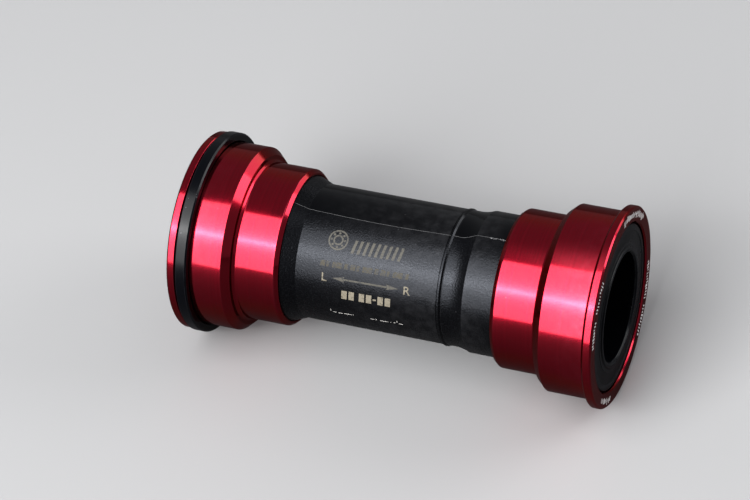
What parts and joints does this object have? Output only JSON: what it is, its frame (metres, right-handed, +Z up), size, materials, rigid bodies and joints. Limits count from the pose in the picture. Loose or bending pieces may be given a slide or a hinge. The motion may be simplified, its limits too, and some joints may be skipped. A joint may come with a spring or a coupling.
{
  "type": "bottom bracket",
  "caption": "Press-fit bicycle bottom bracket: two flanged red bearing cups joined by a black sleeve, which carry a crank spindle in sealed bearings inside a frame shell.",
  "frame": {"origin": "middle of the assembly on the spindle axis", "axes": "+X along the spindle axis towards the drive side (right), +Z up"},
  "size_m": [0.0962, 0.0448, 0.0448],
  "materials": {
    "red_anodised": "gloss",
    "satin_black": "satin",
    "moulded_black": "satin",
    "bearing_steel": "satin",
    "ball_steel": "polished",
    "cage_plastic": "matte",
    "seal_rubber": "matte"
  },
  "bodies": {
    "housing": {"left_cup": "red_anodised", "left_outer_race": "bearing_steel", "left_outer_seal": "seal_rubber", "left_inner_seal": "seal_rubber", "left_sleeve_ring": "seal_rubber", "right_cup": "red_anodised", "right_outer_race": "bearing_steel", "right_outer_seal": "seal_rubber", "right_inner_seal": "seal_rubber", "right_sleeve_ring": "seal_rubber", "centre_sleeve": "moulded_black", "left_shell_spacer": "satin_black"},
    "left_inner_ring": {"left_inner_race": "bearing_steel", "left_dust_cover": "satin_black"},
    "left_ball_set": {"left_ball_cage": "cage_plastic", "left_ball_01": "ball_steel", "left_ball_02": "ball_steel", "left_ball_03": "ball_steel", "left_ball_04": "ball_steel", "left_ball_05": "ball_steel", "left_ball_06": "ball_steel", "left_ball_07": "ball_steel", "left_ball_08": "ball_steel", "left_ball_09": "ball_steel", "left_ball_10": "ball_steel", "left_ball_11": "ball_steel", "left_ball_12": "ball_steel", "left_ball_13": "ball_steel", "left_ball_14": "ball_steel", "left_ball_15": "ball_steel", "left_ball_16": "ball_steel"},
    "right_inner_ring": {"right_inner_race": "bearing_steel", "right_dust_cover": "satin_black"},
    "right_ball_set": {"right_ball_cage": "cage_plastic", "right_ball_01": "ball_steel", "right_ball_02": "ball_steel", "right_ball_03": "ball_steel", "right_ball_04": "ball_steel", "right_ball_05": "ball_steel", "right_ball_06": "ball_steel", "right_ball_07": "ball_steel", "right_ball_08": "ball_steel", "right_ball_09": "ball_steel", "right_ball_10": "ball_steel", "right_ball_11": "ball_steel", "right_ball_12": "ball_steel", "right_ball_13": "ball_steel", "right_ball_14": "ball_steel", "right_ball_15": "ball_steel", "right_ball_16": "ball_steel"}
  },
  "joints": [
    {"name": "left_inner_ring_spin", "type": "hinge", "parent": "housing", "child": "left_inner_ring", "pos_m": [-0.0429, 0, 0], "axis": [1, 0, 0], "continuous": true},
    {"name": "left_ball_set_spin", "type": "hinge", "parent": "housing", "child": "left_ball_set", "pos_m": [-0.0429, 0, 0], "axis": [1, 0, 0], "continuous": true},
    {"name": "right_inner_ring_spin", "type": "hinge", "parent": "housing", "child": "right_inner_ring", "pos_m": [0.0429, 0, 0], "axis": [1, 0, 0], "continuous": true},
    {"name": "right_ball_set_spin", "type": "hinge", "parent": "housing", "child": "right_ball_set", "pos_m": [0.0429, 0, 0], "axis": [1, 0, 0], "continuous": true}
  ],
  "couplings": [
    {"joint": "left_ball_set_spin", "follows": "left_inner_ring_spin", "ratio": 0.44355},
    {"joint": "right_ball_set_spin", "follows": "right_inner_ring_spin", "ratio": 0.44355}
  ]
}
